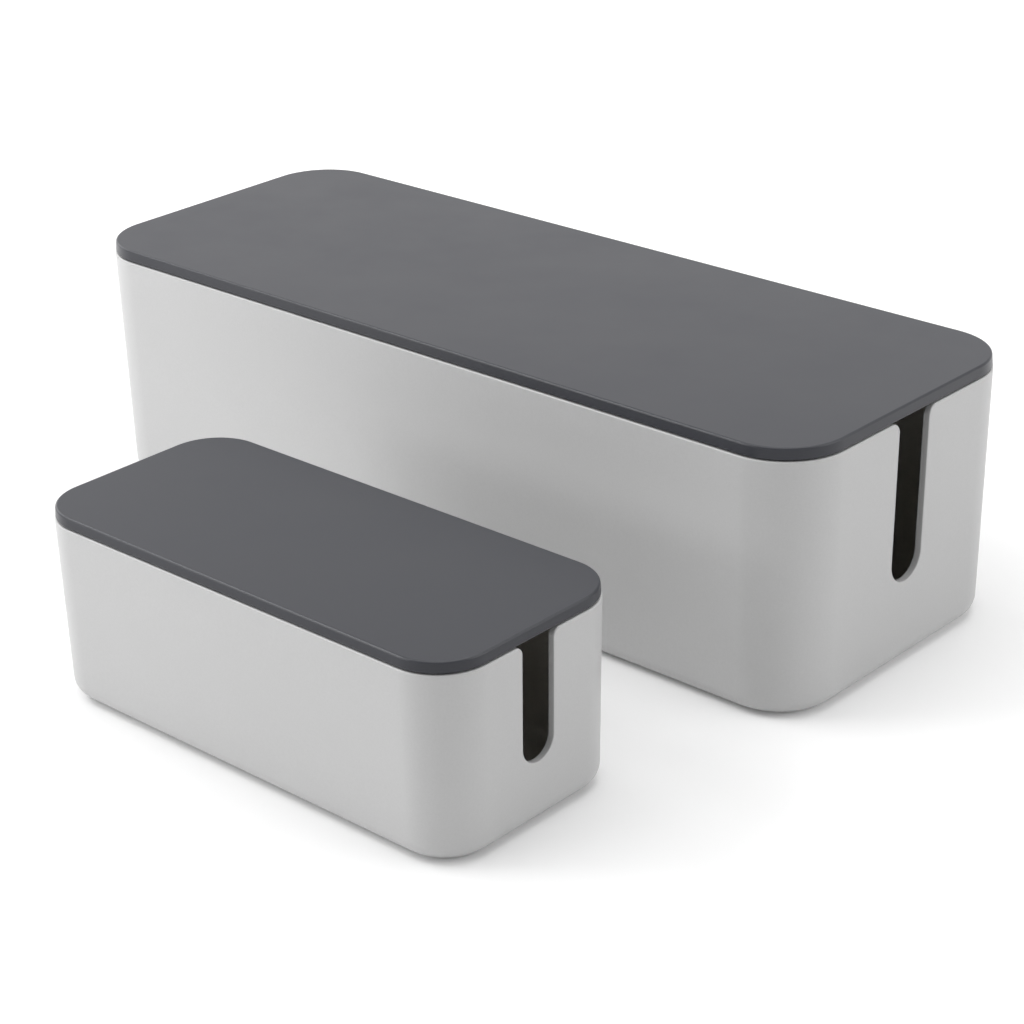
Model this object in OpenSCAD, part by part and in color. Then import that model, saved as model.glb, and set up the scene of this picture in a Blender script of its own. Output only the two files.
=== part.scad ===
// A set of two cable management boxes of one design, a large one and a small one.
// Each is a moulded tub with drafted walls, round corners and a cable slot in both end walls.
// A lift-off lid rests on the rim, held in place by a lip inside it, and four rubber feet
// sit in shallow recesses under the floor. The origin is on the table, midway under the set.

/* [Large box] */
// Length over the rim
large_length = 400; // [320:1:480]
// Width over the rim
large_width = 149.5; // [110:0.5:220]
// Height from the table to the top of the lid
large_height = 115; // [95:0.5:180]
// Corner radius at the rim
large_corner = 28.5; // [18:0.5:40]
// Thickness of the tub's walls
large_wall = 3; // [2:0.1:5]
// Height of the lid's side band
large_band = 5.5; // [5:0.5:12]
// Width of each cable slot
large_slot = 20; // [12:0.5:36]
// Depth of each cable slot, down from the rim
large_slot_depth = 71.5; // [30:0.5:78]
// Radius that rounds the slot's mouth into the rim
large_mouth = 4.6; // [2:0.2:7]

/* [Small box] */
// Length over the rim
small_length = 219; // [180:1:280]
// Width over the rim
small_width = 97; // [84:0.5:140]
// Height from the table to the top of the lid
small_height = 82; // [70:0.5:130]
// Corner radius at the rim
small_corner = 22; // [16:1:30]
// Thickness of the tub's walls
small_wall = 2.8; // [2:0.1:4]
// Height of the lid's side band
small_band = 5; // [5:0.5:10]
// Width of each cable slot
small_slot = 16.5; // [10:0.5:28]
// Depth of each cable slot, down from the rim
small_slot_depth = 50; // [24:0.5:52]
// Radius that rounds the slot's mouth into the rim
small_mouth = 3.4; // [2:0.2:6]

/* [Tub] */
// Draft of the side walls, in degrees
draft = 1.1; // [0.5:0.1:2.5]
// Thickness of the floor
floor_thick = 3; // [2.4:0.1:5]
// Outer radius where the walls turn into the base
base_round = 8; // [1:0.5:9]
// Inner radius where the walls turn into the floor
floor_round = 5; // [3:0.5:8]
// Radius of the rim's outer edge
rim_round = 0.8; // [0.3:0.1:1]
// Radius of the rim's inner edge
rim_inner_round = 0.4; // [0.2:0.1:0.8]

/* [Lid] */
// Thickness of the lid's top
lid_top = 2.6; // [2:0.1:3.4]
// Radius of the lid's top edge
lid_round = 1; // [0.5:0.1:2]
// Draft of the lid's side band, in degrees
band_draft = 4; // [0:0.5:6]
// How far the lid's side stands in from the rim's edge
lid_inset = 0.3; // [0.1:0.1:1.4]
// Radius of the band's lower edge
band_round = 0.5; // [0.2:0.1:0.8]
// How far the locating lip reaches down below the rim
lip_depth = 5; // [4:0.5:9]
// Thickness of the locating lip
lip_thick = 1.8; // [1.2:0.1:3]
// Clearance between the lip and the inside of the tub's wall
lip_clearance = 0.5; // [0.3:0.1:1]
// Clearance from the slot's mouth to the ends of the lip
lip_slot_clearance = 2; // [0.5:0.5:5]
// Radius where the lip runs into the lid's underside
lid_inner_round = 2; // [0.5:0.5:2.5]

/* [Feet] */
// Diameter of a foot
foot_diameter = 14; // [8:1:18]
// How far a foot stands out below the base
foot_proud = 0.4; // [0.3:0.1:4]
// Depth of a foot's recess in the floor
foot_recess = 1; // [0.5:0.1:1.5]
// Clearance round a foot in its recess
foot_clearance = 0.2; // [0.1:0.1:0.5]
// Radius of a foot's lower edge
foot_round = 0.6; // [0.2:0.1:1]
// Distance of a foot's centre from the sides of its box
foot_inset = 24; // [20:1:32]

/* [Set] */
// Gap between the rims of the two boxes
set_gap = 61.5; // [5:0.5:200]
// How far the small box's middle stands along the large one's length
small_shift = 60; // [0:1:85]

/* [Hidden] */
$fn = 96;
// Height of each tub's rim above the table, where its lid rests
large_rim = large_height - large_band;
small_rim = small_height - small_band;
// Each box's middle, front to back, with the set centred on the origin
set_depth = large_width + set_gap + small_width;
large_y = (set_depth - large_width) / 2;
small_y = (small_width - set_depth) / 2;
// Top of the floor inside each tub
floor_top = foot_proud + floor_thick;
// Radius of the lip's lower edges
lip_round = lip_thick / 3;
// Flat steps that make up a round edge, and a larger round
edge_steps = 4;
round_steps = 8;
// How far a cut runs past the face that it opens
past = 1;

silver = [0.77, 0.77, 0.76];
dark_grey = [0.36, 0.36, 0.38];
black_rubber = [0.1, 0.1, 0.1];

// Points along an arc about a centre, from one angle to another
function arc(centre, r, from, to, steps) =
    [for (i = [0:steps])
        let (a = from + (to - from) * i / steps)
        centre + r * [cos(a), sin(a)]];

// Where a leaning face stands, out from the corner's axis. The face starts at "edge", leans
// inwards by "lean" degrees and is asked for "away" from there, "depth" inside its skin
function face_x(edge, lean, depth, away) = edge - (depth + sin(lean) * away) / cos(lean);

// Section through a tub's wall and floor, drawn outwards from a corner's axis
function tub_section(rim, corner, wall) =
    let (
        at = function (depth, z) [face_x(corner, draft, depth, rim - z), z]
    )
    concat(
        [[0, foot_proud]],
        arc(at(base_round, foot_proud + base_round), base_round, -90, -draft, round_steps),
        arc(at(rim_round, rim - rim_round), rim_round, -draft, 90, edge_steps),
        arc(at(wall - rim_inner_round, rim - rim_inner_round), rim_inner_round,
            90, 180 - draft, edge_steps),
        arc(at(wall + floor_round, floor_top + floor_round), floor_round,
            -draft, -90, round_steps),
        [[0, floor_top]]
    );

// Section through a lid's top, side band and lip, drawn outwards from a corner's axis
function lid_section(rim, height, corner, wall) =
    let (
        side = function (depth, z) [face_x(corner - lid_inset, band_draft, depth, z - rim), z],
        lip = function (depth, z) [face_x(corner, draft, wall + lip_clearance + depth, rim - z), z],
        under = height - lid_top,
        tip = rim - lip_depth,
        lip_in = lip(lip_thick, rim)[0]
    )
    concat(
        [[0, under]],
        arc([lip_in - lid_inner_round, under - lid_inner_round], lid_inner_round,
            90, 0, edge_steps),
        arc([lip_in + lip_round, tip + lip_round], lip_round, 180, 270, edge_steps),
        arc(lip(lip_round, tip + lip_round), lip_round, 270, 360 - draft, edge_steps),
        [lip(0, rim)],
        arc(side(band_round, rim + band_round), band_round, -90, band_draft, edge_steps),
        arc(side(lid_round, height - lid_round), lid_round, band_draft, 90, round_steps),
        [[0, height]]
    );

// Sweeps a section round a rectangle with round corners. "plate" gives the lowest and
// highest level of the flat plate that fills the middle
module round_sweep(length, width, corner, plate) {
    run_x = length - 2 * corner;
    run_y = width - 2 * corner;
    translate([-run_x / 2, -run_y / 2, plate[0]])
        cube([run_x, run_y, plate[1] - plate[0]]);
    for (half = [0, 180])
        rotate([0, 0, half]) {
            translate([run_x / 2, run_y / 2, 0])
                rotate_extrude(angle = 90) children();
            translate([-run_x / 2, run_y / 2, 0])
                rotate([0, 0, 90]) rotate_extrude(angle = 90) children();
            translate([run_x / 2, run_y / 2, 0])
                rotate([90, 0, 0]) linear_extrude(run_y) children();
            translate([-run_x / 2, run_y / 2, 0])
                rotate([90, 0, 90]) linear_extrude(run_x) children();
        }
}

// Outline of a cable slot, open at the rim: a straight run, a full-round bottom and a
// mouth that is rounded out into the rim
module slot_outline(slot, depth, mouth) {
    straight = depth - slot / 2;
    translate([0, -straight]) circle(d = slot);
    translate([-slot / 2, -straight]) square([slot, straight + past]);
    for (side = [0, 1])
        mirror([side, 0])
            polygon(concat(
                arc([slot / 2 + mouth, -mouth], mouth, 90, 180, round_steps),
                [[0, -mouth], [0, past], [slot / 2 + mouth, past]]
            ));
}

// Places a foot or its recess under each corner of a box, or under one of them
module under_corner(length, width, side_x, side_y) {
    translate([side_x * (length / 2 - foot_inset), side_y * (width / 2 - foot_inset), 0])
        children();
}

module tub(length, width, rim, corner, wall, slot, slot_depth, mouth) {
    difference() {
        round_sweep(length, width, corner, [foot_proud, floor_top])
            polygon(tub_section(rim, corner, wall));
        for (half = [0, 180])
            rotate([0, 0, half])
                translate([length / 2 - corner, 0, rim])
                    rotate([90, 0, 90])
                        linear_extrude(corner + past)
                            slot_outline(slot, slot_depth, mouth);
        for (side_x = [-1, 1], side_y = [-1, 1])
            under_corner(length, width, side_x, side_y)
                cylinder(d = foot_diameter + 2 * foot_clearance, h = foot_proud + foot_recess);
    }
}

module lid(length, width, rim, height, corner, wall, slot, mouth) {
    lip_opening = slot + 2 * (mouth + lip_slot_clearance);
    difference() {
        round_sweep(length, width, corner, [height - lid_top, height])
            polygon(lid_section(rim, height, corner, wall));
        for (half = [0, 180])
            rotate([0, 0, half])
                translate([length / 2 - corner, -lip_opening / 2, rim - lip_depth - past])
                    cube([corner, lip_opening, lip_depth + past]);
    }
}

module foot() {
    flat = foot_diameter / 2 - foot_round;
    rotate_extrude()
        polygon(concat(
            [[0, 0]],
            arc([flat, foot_round], foot_round, -90, 0, edge_steps),
            [[foot_diameter / 2, foot_proud + foot_recess], [0, foot_proud + foot_recess]]
        ));
}

module at_large() { translate([0, large_y, 0]) children(); }
module at_small() { translate([small_shift, small_y, 0]) children(); }

module large_tub() {
    color(silver) at_large()
        tub(large_length, large_width, large_rim, large_corner, large_wall,
            large_slot, large_slot_depth, large_mouth);
}
module large_lid() {
    color(dark_grey) at_large()
        lid(large_length, large_width, large_rim, large_height, large_corner, large_wall,
            large_slot, large_mouth);
}
module large_foot(side_x, side_y) {
    color(black_rubber) at_large()
        under_corner(large_length, large_width, side_x, side_y) foot();
}
module small_tub() {
    color(silver) at_small()
        tub(small_length, small_width, small_rim, small_corner, small_wall,
            small_slot, small_slot_depth, small_mouth);
}
module small_lid() {
    color(dark_grey) at_small()
        lid(small_length, small_width, small_rim, small_height, small_corner, small_wall,
            small_slot, small_mouth);
}
module small_foot(side_x, side_y) {
    color(black_rubber) at_small()
        under_corner(small_length, small_width, side_x, side_y) foot();
}

large_tub();
large_lid();
large_foot(-1, -1);  // large_foot_front_left
large_foot(1, -1);  // large_foot_front_right
large_foot(-1, 1);  // large_foot_back_left
large_foot(1, 1);  // large_foot_back_right
small_tub();
small_lid();
small_foot(-1, -1);  // small_foot_front_left
small_foot(1, -1);  // small_foot_front_right
small_foot(-1, 1);  // small_foot_back_left
small_foot(1, 1);  // small_foot_back_right
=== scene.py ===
import math

import bpy
from mathutils import Matrix, Vector


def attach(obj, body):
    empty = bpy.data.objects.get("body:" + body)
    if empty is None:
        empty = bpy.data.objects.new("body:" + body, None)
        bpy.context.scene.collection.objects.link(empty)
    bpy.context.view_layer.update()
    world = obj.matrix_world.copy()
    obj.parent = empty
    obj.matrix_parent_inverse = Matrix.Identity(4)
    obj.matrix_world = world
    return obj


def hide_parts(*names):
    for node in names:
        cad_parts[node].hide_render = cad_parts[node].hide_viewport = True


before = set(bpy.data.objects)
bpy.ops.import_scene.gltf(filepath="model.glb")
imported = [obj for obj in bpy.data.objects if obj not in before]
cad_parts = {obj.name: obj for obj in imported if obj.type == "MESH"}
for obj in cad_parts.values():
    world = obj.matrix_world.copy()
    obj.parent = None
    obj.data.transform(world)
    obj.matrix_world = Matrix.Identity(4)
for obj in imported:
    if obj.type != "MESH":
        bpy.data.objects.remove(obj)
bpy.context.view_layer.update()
MM = 0.001


# The large box's tub is one deep moulding in satin silver-grey plastic. Its inner faces are a paler and
# warmer grey, painted light that lightens and warms the shade inside the tub. Its walls lean in by 1.1
# degrees towards a flat base, and each end wall has a cable slot.
# The free edge of the wall is rounded in one line, round the rim and more finely down the slots.
class Size:
    """A size inside a node tree, which the usual signs add, take away, multiply and divide."""

    def __init__(self, tree, socket):
        self.tree, self.socket = tree, socket

    def combined(self, operation, other):
        return Size(self.tree, step(self.tree, "ShaderNodeMath", {0: self, 1: other}, operation=operation))

    def __add__(self, other):
        return self.combined("ADD", other)

    def __sub__(self, other):
        return self.combined("SUBTRACT", other)

    def __mul__(self, other):
        return self.combined("MULTIPLY", other)

    def __truediv__(self, other):
        return self.combined("DIVIDE", other)

    def __neg__(self):
        return self.combined("MULTIPLY", -1.0)


def feed(tree, socket, value):
    """Gives an input a plain value, or links it to a size or to another node's output."""
    value = value.socket if isinstance(value, Size) else value
    if isinstance(value, bpy.types.NodeSocket):
        tree.links.new(value, socket)
    else:
        socket.default_value = value


def step(tree, kind, inputs, **settings):
    """Adds one node, with its settings and inputs, and returns its first output."""
    node = tree.nodes.new(kind)
    for name, value in settings.items():
        setattr(node, name, value)
    for name, value in inputs.items():
        feed(tree, node.inputs[name], value)
    return node.outputs[0]


def point(tree, x=0.0, y=0.0, z=0.0):
    return step(tree, "ShaderNodeCombineXYZ", {0: x, 1: y, 2: z})


def chosen(tree, kind, values):
    """One of several values, by the number of the point that it is read for."""
    node = tree.nodes.new("GeometryNodeIndexSwitch")
    node.data_type = kind
    while len(node.index_switch_items) < len(values):
        node.index_switch_items.new()
    feed(tree, node.inputs["Index"], step(tree, "GeometryNodeInputIndex", {}))
    for number, value in enumerate(values):
        feed(tree, node.inputs[number + 1], value)
    return node.outputs[0]


def outline(tree, corners, steps, closed=False):
    """A line through corners, each given as how far out it is, how high, and the radius that rounds it."""
    line = step(tree, "GeometryNodeMeshLine", {"Count": len(corners), "Offset": (1, 0, 0)})
    line = step(tree, "GeometryNodeMeshToCurve", {"Mesh": line})
    places = chosen(tree, "VECTOR", [point(tree, out, -up) for out, up, radius in corners])
    line = step(tree, "GeometryNodeSetPosition", {"Geometry": line, "Position": places})
    if closed:
        line = step(tree, "GeometryNodeSetSplineCyclic", {"Geometry": line, "Cyclic": True})
    radii = chosen(tree, "FLOAT", [radius for out, up, radius in corners])
    return step(tree, "GeometryNodeFilletCurve", {
        "Curve": line, "Count": steps, "Radius": radii}, mode="POLY")


def rim_line(tree, sizes):
    """The round-cornered rectangle that a box's sections are swept round."""
    corner_steps = 28
    line = step(tree, "GeometryNodeCurvePrimitiveQuadrilateral", {
        "Width": sizes["Length"], "Height": sizes["Width"]})
    return step(tree, "GeometryNodeFilletCurve", {
        "Curve": line, "Count": corner_steps, "Radius": sizes["Corner radius"]}, mode="POLY")


def height_of(tree):
    place = step(tree, "ShaderNodeSeparateXYZ", {0: step(tree, "GeometryNodeInputPosition", {})})
    return Size(tree, place.node.outputs["Z"])


def joined(tree, parts):
    """Several meshes as one, with the points that meet made one point."""
    node = tree.nodes.new("GeometryNodeJoinGeometry")
    for part in parts:
        tree.links.new(part, node.inputs[0])
    return step(tree, "GeometryNodeMergeByDistance", {
        "Geometry": node.outputs[0], "Distance": 0.005 * MM})


def swept(tree, path, section, upper, lower):
    """Sweeps a section round a closed path and fills the two flat plates that its ends leave open."""
    level_slack = 0.01 * MM
    parts = [step(tree, "GeometryNodeCurveToMesh", {"Curve": path, "Profile Curve": section})]
    height = height_of(tree)
    faces_beside = Size(tree, step(tree, "GeometryNodeInputMeshEdgeNeighbors", {}))
    # An edge at the end of the section has one face beside it, and every other edge has two.
    open_edge = faces_beside.combined("LESS_THAN", 1.5)
    for level in (upper, lower):
        at_level = Size(tree, step(tree, "ShaderNodeMath", {
            0: height, 1: level, 2: level_slack}, operation="COMPARE"))
        edge = step(tree, "GeometryNodeMeshToCurve", {"Mesh": parts[0], "Selection": at_level * open_edge})
        plate = step(tree, "GeometryNodeFillCurve", {"Curve": edge}, mode="NGONS")
        if level is lower:
            plate = step(tree, "GeometryNodeFlipFaces", {"Mesh": plate})
        parts.append(step(tree, "GeometryNodeTransform", {
            "Geometry": plate, "Translation": point(tree, z=level)}))
    return joined(tree, parts)


def along_the_box(tree, sizes, section):
    """A bar of the given section, right through the box from end to end."""
    reach = sizes["Length"]
    line = step(tree, "GeometryNodeCurvePrimitiveLine", {
        "Start": point(tree, x=-reach), "End": point(tree, x=reach)})
    return joined(tree, [step(tree, "GeometryNodeCurveToMesh", {
        "Curve": line, "Profile Curve": section, "Fill Caps": True})])


def cut_away(tree, body, cutters):
    """Takes the cutters' shapes out of a body."""
    node = tree.nodes.new("GeometryNodeMeshBoolean")
    node.operation, node.solver = "DIFFERENCE", "EXACT"
    tree.links.new(body, node.inputs["Mesh 1"])
    for cutter in cutters:
        tree.links.new(cutter, node.inputs["Mesh 2"])
    return step(tree, "GeometryNodeMergeByDistance", {
        "Geometry": node.outputs["Mesh"], "Distance": 0.01 * MM})


def at_the_feet(tree, sizes, piece):
    """Puts a foot, or the recess for one, under each of a box's four corners."""
    both_sides = sizes["Foot inset"] * 2
    corners = step(tree, "GeometryNodeCurvePrimitiveQuadrilateral", {
        "Width": sizes["Length"] - both_sides, "Height": sizes["Width"] - both_sides})
    return step(tree, "GeometryNodeInstanceOnPoints", {"Points": corners, "Instance": piece})


def faces_inside(tree, sizes, slot_reach, floor_top):
    """A tub's inner faces: those that look in at its middle, and its floor, but not its slots' sides."""
    leaning_up, height_slack = 0.1, 0.1 * MM
    facing = step(tree, "GeometryNodeInputNormal", {})
    from_middle = step(tree, "ShaderNodeVectorMath", {
        0: step(tree, "GeometryNodeInputPosition", {}), 1: sizes["Middle"]}, operation="SUBTRACT")
    level_part = step(tree, "ShaderNodeVectorMath", {0: from_middle, 1: (1, 1, 0)}, operation="MULTIPLY")
    looks_out = step(tree, "ShaderNodeVectorMath", {0: level_part, 1: facing}, operation="DOT_PRODUCT")
    looks_out = Size(tree, looks_out.node.outputs["Value"])
    looks_up = Size(tree, step(tree, "ShaderNodeSeparateXYZ", {0: facing}).node.outputs["Z"])
    height = height_of(tree)
    on_wall = looks_out.combined("LESS_THAN", -slot_reach)
    low_down = height.combined("LESS_THAN", floor_top + sizes["Floor radius"])
    on_floor = looks_up.combined("GREATER_THAN", leaning_up) * low_down
    above_floor = height.combined("GREATER_THAN", floor_top - height_slack)
    return on_wall.combined("MAXIMUM", on_floor) * above_floor


def new_tree(name, inputs):
    """A geometry tree with a named input for each size, and the sizes ready for its nodes."""
    kinds = {
        "Middle": "NodeSocketVector", "Material": "NodeSocketMaterial",
        "Inside material": "NodeSocketMaterial"}
    tree = bpy.data.node_groups.new(name, "GeometryNodeTree")
    for label in inputs:
        tree.interface.new_socket(label, in_out="INPUT", socket_type=kinds.get(label, "NodeSocketFloat"))
    tree.interface.new_socket("Geometry", in_out="OUTPUT", socket_type="NodeSocketGeometry")
    start = tree.nodes.new("NodeGroupInput")
    return tree, {label: Size(tree, start.outputs[label]) for label in inputs}


def end_tree(tree, sizes, body, fine_share=1.0, fine_below=0.0, full_above=1.0, inside=None):
    """Marks how much each sharp edge is rounded and puts the body in its place, in its material."""
    sharp_angle = math.radians(40)
    angle = Size(tree, step(tree, "GeometryNodeInputMeshEdgeAngle", {}))
    share = Size(tree, step(tree, "ShaderNodeMapRange", {
        "Value": height_of(tree), "From Min": fine_below, "From Max": full_above,
        "To Min": fine_share, "To Max": 1.0}))
    body = step(tree, "GeometryNodeRealizeInstances", {"Geometry": body})
    body = step(tree, "GeometryNodeStoreNamedAttribute", {
        "Geometry": body, "Name": "bevel_weight_edge",
        "Value": angle.combined("GREATER_THAN", sharp_angle) * share},
        data_type="FLOAT", domain="EDGE")
    body = step(tree, "GeometryNodeTransform", {"Geometry": body, "Translation": sizes["Middle"]})
    body = step(tree, "GeometryNodeSetShadeSmooth", {"Geometry": body})
    body = step(tree, "GeometryNodeSetMaterial", {"Geometry": body, "Material": sizes["Material"]})
    if inside:
        body = step(tree, "GeometryNodeSetMaterial", {
            "Geometry": body, "Selection": inside, "Material": sizes["Inside material"]})
    tree.links.new(body, tree.nodes.new("NodeGroupOutput").inputs["Geometry"])


def made_by(tree, name, values, edge_radius, edge_steps):
    """Makes a piece from its tree, rounds its remaining sharp edges and turns it into a plain mesh."""
    rough = bpy.data.objects.new(name + "_rough", bpy.data.meshes.new(name + "_rough"))
    bpy.context.scene.collection.objects.link(rough)
    nodes = rough.modifiers.new("shape", "NODES")
    nodes.node_group = tree
    for item in tree.interface.items_tree:
        if item.in_out == "INPUT":
            nodes[item.identifier] = values[item.name]
    edges = rough.modifiers.new("rounded edges", "BEVEL")
    edges.width, edges.segments = edge_radius, edge_steps
    edges.limit_method, edges.use_clamp_overlap = "WEIGHT", False
    rough.modifiers.new("even shading", "WEIGHTED_NORMAL")
    mesh = bpy.data.meshes.new_from_object(rough.evaluated_get(bpy.context.evaluated_depsgraph_get()))
    mesh.name = name
    bpy.data.objects.remove(rough)
    piece = bpy.data.objects.new(name, mesh)
    bpy.context.scene.collection.objects.link(piece)
    return piece


tub_tree, size = new_tree("moulded_tub", [
    "Length", "Width", "Rim height", "Corner radius", "Wall", "Lean", "Foot height", "Floor", "Base radius",
    "Floor radius", "Slot width", "Slot depth", "Mouth radius", "Foot inset", "Recess radius", "Recess depth",
    "Middle", "Material", "Inside material"])
# A section ends this far outside the middle of the corner, where the flat plate takes over, and a
# cutter reaches this far past what it cuts.
PLATE_MARGIN, CUTTER_MARGIN = 2 * MM, 5 * MM
rim, base, lean = size["Rim height"], size["Foot height"], size["Lean"]
floor_top = base + size["Floor"]
plate_edge = -size["Corner radius"] + PLATE_MARGIN
tub_section = outline(tub_tree, [
    (plate_edge, floor_top, 0.0),
    (-size["Wall"] - (rim - floor_top) * lean, floor_top, size["Floor radius"]),
    (-size["Wall"], rim, 0.0),
    (0.0, rim, 0.0),
    (-(rim - base) * lean, base, size["Base radius"]),
    (plate_edge, base, 0.0),
], steps=10)
tub_body = swept(tub_tree, rim_line(tub_tree, size), tub_section, floor_top, base)

# The slot's round bottom and mouth are a hair short of full, so that no side between them is nil.
nearly_full = 0.9999
half_slot, slot_bottom = size["Slot width"] / 2, rim - size["Slot depth"]
mouth, mouth_top = size["Mouth radius"], rim + size["Mouth radius"] * 0.003
slot_line = outline(tub_tree, [
    (half_slot + mouth, rim + CUTTER_MARGIN, 0.0),
    (half_slot + mouth, mouth_top, 0.0),
    (half_slot, mouth_top, mouth * nearly_full),
    (half_slot, slot_bottom, half_slot * nearly_full),
    (-half_slot, slot_bottom, half_slot * nearly_full),
    (-half_slot, mouth_top, mouth * nearly_full),
    (-half_slot - mouth, mouth_top, 0.0),
    (-half_slot - mouth, rim + CUTTER_MARGIN, 0.0),
], steps=14, closed=True)
recess = step(tub_tree, "GeometryNodeMeshCylinder", {
    "Vertices": 64, "Radius": size["Recess radius"], "Depth": (base + size["Recess depth"]) * 2})
recesses = step(tub_tree, "GeometryNodeRealizeInstances", {"Geometry": at_the_feet(tub_tree, size, recess)})
tub_body = cut_away(tub_tree, tub_body, [along_the_box(tub_tree, size, slot_line), recesses])
# The inner faces take the inside material, a paler and warmer grey that paints lighter shade into the tub.
end_tree(
    tub_tree, size, tub_body, fine_share=0.5, fine_below=rim - mouth * 0.8, full_above=rim - 0.1 * MM,
    inside=faces_inside(tub_tree, size, half_slot + mouth + 3 * MM, floor_top))


def moulded_plastic(name, colour, roughness, shine, clouds, grain_size, grain_depth):
    """Moulded plastic: its colour and gloss drift a little over the piece, and its skin has a fine grain."""
    material = bpy.data.materials.new(name)
    material.use_nodes = True
    tree = material.node_tree
    skin = tree.nodes["Principled BSDF"]
    place = tree.nodes.new("ShaderNodeTexCoord").outputs["Object"]

    fleck_reach, gloss_reach, grain_strength = 0.015, 0.03, 0.35

    def spread(noise, middle, reach):
        return step(tree, "ShaderNodeMapRange", {
            "Value": noise, "From Min": 0.3, "From Max": 0.7,
            "To Min": middle - reach, "To Max": middle + reach})

    drift = step(tree, "ShaderNodeTexNoise", {
        "Vector": place, "Scale": 22.0, "Detail": 3.0, "Roughness": 0.55})
    fleck = step(tree, "ShaderNodeTexNoise", {"Vector": place, "Scale": 0.6 / grain_size, "Detail": 1.0})
    grain = step(tree, "ShaderNodeTexNoise", {"Vector": place, "Scale": 1 / grain_size, "Detail": 2.0})
    shade = step(tree, "ShaderNodeMath", {
        0: spread(drift, 1.0, clouds), 1: spread(fleck, 1.0, fleck_reach)}, operation="MULTIPLY")
    bump = step(tree, "ShaderNodeBump", {
        "Strength": grain_strength, "Distance": grain_depth, "Height": grain})
    tinted = step(tree, "ShaderNodeVectorMath", {0: colour, "Scale": shade}, operation="SCALE")
    feed(tree, skin.inputs["Base Color"], tinted)
    feed(tree, skin.inputs["Roughness"], spread(drift, roughness, gloss_reach))
    feed(tree, skin.inputs["Normal"], bump)
    skin.inputs["Specular IOR Level"].default_value = shine
    return material


silver_plastic = moulded_plastic(
    "satin_silver", colour=(0.517, 0.517, 0.517), roughness=0.42, shine=0.5, clouds=0.01,
    grain_size=0.5 * MM, grain_depth=0.03 * MM)
# The inside's paler, warmer grey is painted light: it stands in for more light bounced round the inside of
# the tub.
lightened_inside_plastic = moulded_plastic(
    "painted_light_inside", colour=(0.74, 0.71, 0.66), roughness=0.5, shine=0.5, clouds=0.01,
    grain_size=0.5 * MM, grain_depth=0.03 * MM)
large = {
    "Length": 400 * MM, "Width": 149.5 * MM, "Rim height": 109.5 * MM, "Corner radius": 28.5 * MM,
    "Wall": 3 * MM, "Lean": math.tan(math.radians(1.1)), "Foot height": 0.4 * MM, "Floor": 3 * MM,
    "Base radius": 8 * MM, "Floor radius": 5 * MM, "Slot width": 20 * MM, "Slot depth": 71.5 * MM,
    "Mouth radius": 4.6 * MM, "Foot inset": 24 * MM, "Recess radius": 7.2 * MM, "Recess depth": 1 * MM,
    "Middle": (0.0, 79.25 * MM, 0.0), "Material": silver_plastic, "Inside material": lightened_inside_plastic}
large_tub = made_by(tub_tree, "large_tub_moulding", large, edge_radius=0.7 * MM, edge_steps=4)
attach(large_tub, "large_box")
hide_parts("large_tub")


# The large box's lid is a thinner moulding in matte dark grey plastic, which lifts straight off.
# Its side band leans in from just inside the rim, and a shadow gap runs between the two. A lip under
# the lid, which stops short of both cable slots, keeps it in place inside the wall.
lid_tree, size = new_tree("lift_off_lid", [
    "Length", "Width", "Rim height", "Height", "Corner radius", "Wall", "Lean", "Inset", "Band lean", "Top",
    "Top radius", "Band radius", "Shadow gap", "Gap depth", "Lip clearance", "Lip", "Lip depth",
    "Inner radius", "Lip opening", "Middle", "Material"])
rim, top, underside = size["Rim height"], size["Height"], size["Height"] - size["Top"]
band_foot = -size["Inset"]
band_head = band_foot - (top - rim) * size["Band lean"]
gap_top, gap_in = rim + size["Shadow gap"], band_foot - size["Gap depth"]
gap_radius = size["Shadow gap"] * 0.45
lip_out = -size["Wall"] - size["Lip clearance"]
lip_in, lip_tip, lip_radius = lip_out - size["Lip"], rim - size["Lip depth"], size["Lip"] / 3
plate_edge = -size["Corner radius"] + PLATE_MARGIN
lid_section = outline(lid_tree, [
    (plate_edge, top, 0.0),
    (band_head, top, size["Top radius"]),
    (band_foot, gap_top, size["Band radius"]),
    (gap_in, gap_top, gap_radius),
    (gap_in, rim, gap_radius),
    (lip_out, rim, 0.0),
    (lip_out - size["Lip depth"] * size["Lean"], lip_tip, lip_radius),
    (lip_in, lip_tip, lip_radius),
    (lip_in, underside, size["Inner radius"]),
    (plate_edge, underside, 0.0),
], steps=8)
lid_body = swept(lid_tree, rim_line(lid_tree, size), lid_section, top, underside)
half_opening = size["Lip opening"] / 2
opening_line = outline(lid_tree, [
    (half_opening, rim, 0.0),
    (half_opening, lip_tip - CUTTER_MARGIN, 0.0),
    (-half_opening, lip_tip - CUTTER_MARGIN, 0.0),
    (-half_opening, rim, 0.0),
], steps=1, closed=True)
end_tree(lid_tree, size, cut_away(lid_tree, lid_body, [along_the_box(lid_tree, size, opening_line)]))

dark_grey_plastic = moulded_plastic(
    "matte_dark_grey", colour=(0.026, 0.0273, 0.0345), roughness=0.33, shine=0.36, clouds=0.03,
    grain_size=0.5 * MM, grain_depth=0.03 * MM)
large_lid_sizes = {
    **large, "Height": 115 * MM, "Inset": 0.3 * MM, "Band lean": math.tan(math.radians(4)), "Top": 2.6 * MM,
    "Top radius": 1 * MM, "Band radius": 0.5 * MM, "Shadow gap": 0.6 * MM, "Gap depth": 1.6 * MM,
    "Lip clearance": 0.5 * MM, "Lip": 1.8 * MM, "Lip depth": 5 * MM, "Inner radius": 2 * MM,
    "Lip opening": 33.2 * MM, "Material": dark_grey_plastic}
large_lid = made_by(lid_tree, "large_lid_moulding", large_lid_sizes, edge_radius=0.3 * MM, edge_steps=2)
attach(large_lid, "large_lid")
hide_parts("large_lid")


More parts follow.
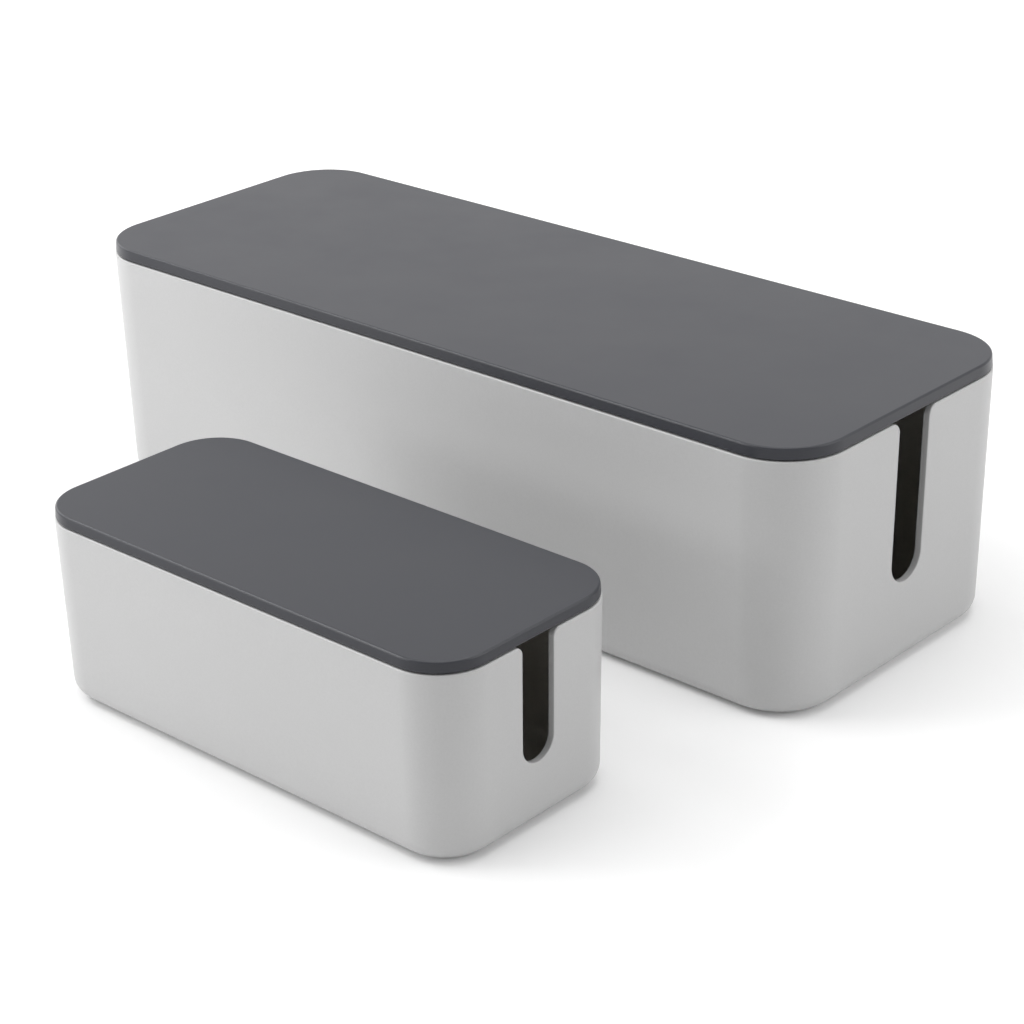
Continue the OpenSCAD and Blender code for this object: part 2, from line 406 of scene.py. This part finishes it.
# The large box stands on four round rubber feet, each stuck in a shallow recess under the base.
# They stand 0.4 mm proud, which leaves the fine dark line between the box and the table.
feet_tree, size = new_tree("rubber_feet", [
    "Length", "Width", "Foot inset", "Foot radius", "Foot thickness", "Foot edge", "Middle", "Material"])
plate_edge = -size["Foot radius"] + 1 * MM
foot_top, foot_bottom = size["Foot thickness"], 0.0
foot_section = outline(feet_tree, [
    (plate_edge, foot_top, 0.0),
    (0.0, foot_top, 0.0),
    (0.0, foot_bottom, size["Foot edge"]),
    (plate_edge, foot_bottom, 0.0),
], steps=5)
foot_line = step(feet_tree, "GeometryNodeCurvePrimitiveCircle", {
    "Resolution": 64, "Radius": size["Foot radius"]})
foot = swept(feet_tree, foot_line, foot_section, foot_top, foot_bottom)
end_tree(feet_tree, size, at_the_feet(feet_tree, size, foot))

foot_rubber = moulded_plastic(
    "black_rubber", colour=(0.03, 0.03, 0.03), roughness=0.75, shine=0.5, clouds=0.08,
    grain_size=0.35 * MM, grain_depth=0.05 * MM)
foot_sizes = {
    "Foot radius": 7 * MM, "Foot thickness": 1.4 * MM, "Foot edge": 0.6 * MM, "Material": foot_rubber}
large_feet = made_by(
    feet_tree, "large_rubber_feet", {**large, **foot_sizes}, edge_radius=0.1 * MM, edge_steps=1)
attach(large_feet, "large_box")
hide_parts(*["large_foot_" + corner for corner in (
    "front_left", "front_right", "back_left", "back_right")])


# The small box is the same design in a shorter, narrower and lower size, with thinner walls and
# narrower slots. Its tub, lid and feet come from the same tools as the large box's.
small = {
    **large, "Length": 219 * MM, "Width": 97 * MM, "Rim height": 77 * MM, "Corner radius": 22 * MM,
    "Wall": 2.8 * MM, "Slot width": 16.5 * MM, "Slot depth": 50 * MM, "Mouth radius": 3.4 * MM,
    "Middle": (60 * MM, -105.5 * MM, 0.0)}
small_lid_sizes = {
    **large_lid_sizes, **small, "Height": 82 * MM, "Lip opening": 27.3 * MM, "Material": dark_grey_plastic}
small_tub = made_by(tub_tree, "small_tub_moulding", small, edge_radius=0.7 * MM, edge_steps=4)
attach(small_tub, "small_box")
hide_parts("small_tub")
small_lid = made_by(lid_tree, "small_lid_moulding", small_lid_sizes, edge_radius=0.3 * MM, edge_steps=2)
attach(small_lid, "small_lid")
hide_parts("small_lid")
small_feet = made_by(
    feet_tree, "small_rubber_feet", {**small, **foot_sizes}, edge_radius=0.1 * MM, edge_steps=1)
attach(small_feet, "small_box")
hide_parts(*["small_foot_" + corner for corner in (
    "front_left", "front_right", "back_left", "back_right")])


# The set stands on a pale studio floor that runs on into a white backdrop. The floor keeps the
# soft shadows, and is lifted towards white, more so further out, only where it is seen directly
# or in a reflection.
floor_half, lift_middle = 6, (-0.1, -0.1, 0)
floor_corners = [(x * floor_half, y * floor_half, 0) for x, y in ((-1, -1), (1, -1), (1, 1), (-1, 1))]
floor_mesh = bpy.data.meshes.new("studio_floor")
floor_mesh.from_pydata(floor_corners, [], [(0, 1, 2, 3)])
studio_floor = bpy.data.objects.new("studio_floor", floor_mesh)
studio_floor.location = lift_middle
bpy.context.scene.collection.objects.link(studio_floor)


def seen_directly(tree):
    """1 for rays from the camera or from a reflection, and 0 for the light that falls on the set."""
    path = tree.nodes.new("ShaderNodeLightPath").outputs
    seen = step(tree, "ShaderNodeMath", {
        0: path["Is Camera Ray"], 1: path["Is Glossy Ray"]}, operation="MAXIMUM")
    return step(tree, "ShaderNodeMath", {0: seen, 1: path["Is Transmission Ray"]}, operation="MAXIMUM")


floor_white = bpy.data.materials.new("floor_white")
floor_white.use_nodes = True
floor_nodes = floor_white.node_tree
floor_skin = floor_nodes.nodes["Principled BSDF"]
floor_skin.inputs["Base Color"].default_value = (0.9, 0.9, 0.9, 1)
floor_skin.inputs["Roughness"].default_value = 0.9
floor_skin.inputs["Specular IOR Level"].default_value = 0.0
floor_skin.inputs["Emission Color"].default_value = (1, 1, 1, 1)
floor_place = floor_nodes.nodes.new("ShaderNodeTexCoord").outputs["Object"]
how_far_out = step(
    floor_nodes, "ShaderNodeVectorMath", {0: floor_place}, operation="LENGTH").node.outputs["Value"]
lift_starts, lift_ends, lift_near, lift_far = 0.2, 1.4, 0.07, 0.8
floor_lift = step(floor_nodes, "ShaderNodeMapRange", {
    "Value": how_far_out, "From Min": lift_starts, "From Max": lift_ends,
    "To Min": lift_near, "To Max": lift_far}, interpolation_type="SMOOTHSTEP")
floor_lift = step(floor_nodes, "ShaderNodeMath", {
    0: seen_directly(floor_nodes), 1: floor_lift}, operation="MULTIPLY")
feed(floor_nodes, floor_skin.inputs["Emission Strength"], floor_lift)
floor_mesh.materials.append(floor_white)

# Plain soft studio light: a bright room, a broad lamp above, soft boxes to the front left, the left
# and the right, which leave the corners that face the camera darker, and a higher one on the left,
# which draws the light line along the lids' near top edges. One behind lightens the cast shadows.
world = bpy.data.worlds.new("studio_room")
bpy.context.scene.world = world
world.use_nodes = True
room = world.node_tree
room_light, room_seen = 0.252, 1.0
feed(room, room.nodes["Background"].inputs["Strength"], step(room, "ShaderNodeMapRange", {
    "Value": seen_directly(room), "To Min": room_light, "To Max": room_seen}))
feed(room, room.nodes["Background"].inputs["Color"], (1, 1, 1, 1))


def looking_from(azimuth, elevation):
    """The direction of a place seen from the set, by degrees round from the front and up from the table."""
    turn, rise = math.radians(azimuth), math.radians(elevation)
    return Vector((math.sin(turn) * math.cos(rise), -math.cos(turn) * math.cos(rise), math.sin(rise)))


lamps_aim = Vector((0, 0, 60 * MM))
for name, azimuth, elevation, distance, width, height, power in (
    ("soft_box_front_left", -30, 25, 1.5, 1.0, 0.9, 4.3),
    ("low_strip_front_left", -30, 9, 1.5, 0.9, 0.36, 2.8),
    ("high_box_left", -55, 45, 1.5, 0.8, 0.4, 8.0),
    ("soft_box_left", -90, 25, 1.5, 1.0, 0.9, 4.9),
    ("soft_box_right", 115, 25, 1.5, 1.0, 0.9, 6.2),
    ("soft_box_behind", 170, 60, 1.5, 0.8, 0.8, 3.2),
    ("lamp_above", 0, 89, 1.6, 1.6, 1.6, 14.3),
):
    toward = looking_from(azimuth, elevation)
    lamp = bpy.data.lights.new(name, "AREA")
    lamp.shape, lamp.size, lamp.size_y, lamp.energy = "RECTANGLE", width, height, power
    holder = bpy.data.objects.new(name, lamp)
    holder.location = lamps_aim + toward * distance
    holder.rotation_euler = toward.to_track_quat("Z", "Y").to_euler()
    bpy.context.scene.collection.objects.link(holder)

# The camera looks at the near corners of both boxes from a little above, through a long lens,
# with the set a touch off level.
camera = bpy.data.cameras.new("camera")
focal_pixels, frame_pixels = 2651.782, 1024
camera.sensor_width = 36
camera.lens = focal_pixels / frame_pixels * camera.sensor_width
azimuth, elevation, roll = 42.472, 24.754, math.radians(1.318)
back = looking_from(azimuth, elevation)
right = Vector((math.cos(math.radians(azimuth)), math.sin(math.radians(azimuth)), 0))
up = back.cross(right)
axes = (right * math.cos(roll) - up * math.sin(roll), right * math.sin(roll) + up * math.cos(roll), back)
looked_at, camera_distance = Vector((67.624 * MM, -6.386 * MM, 60 * MM)), 1060.327 * MM
camera_place = looked_at + back * camera_distance
camera_object = bpy.data.objects.new("camera", camera)
camera_object.matrix_world = Matrix.Translation(camera_place) @ Matrix(axes).transposed().to_4x4()
bpy.context.scene.collection.objects.link(camera_object)
bpy.context.scene.camera = camera_object
bpy.context.scene.view_settings.view_transform = "Standard"
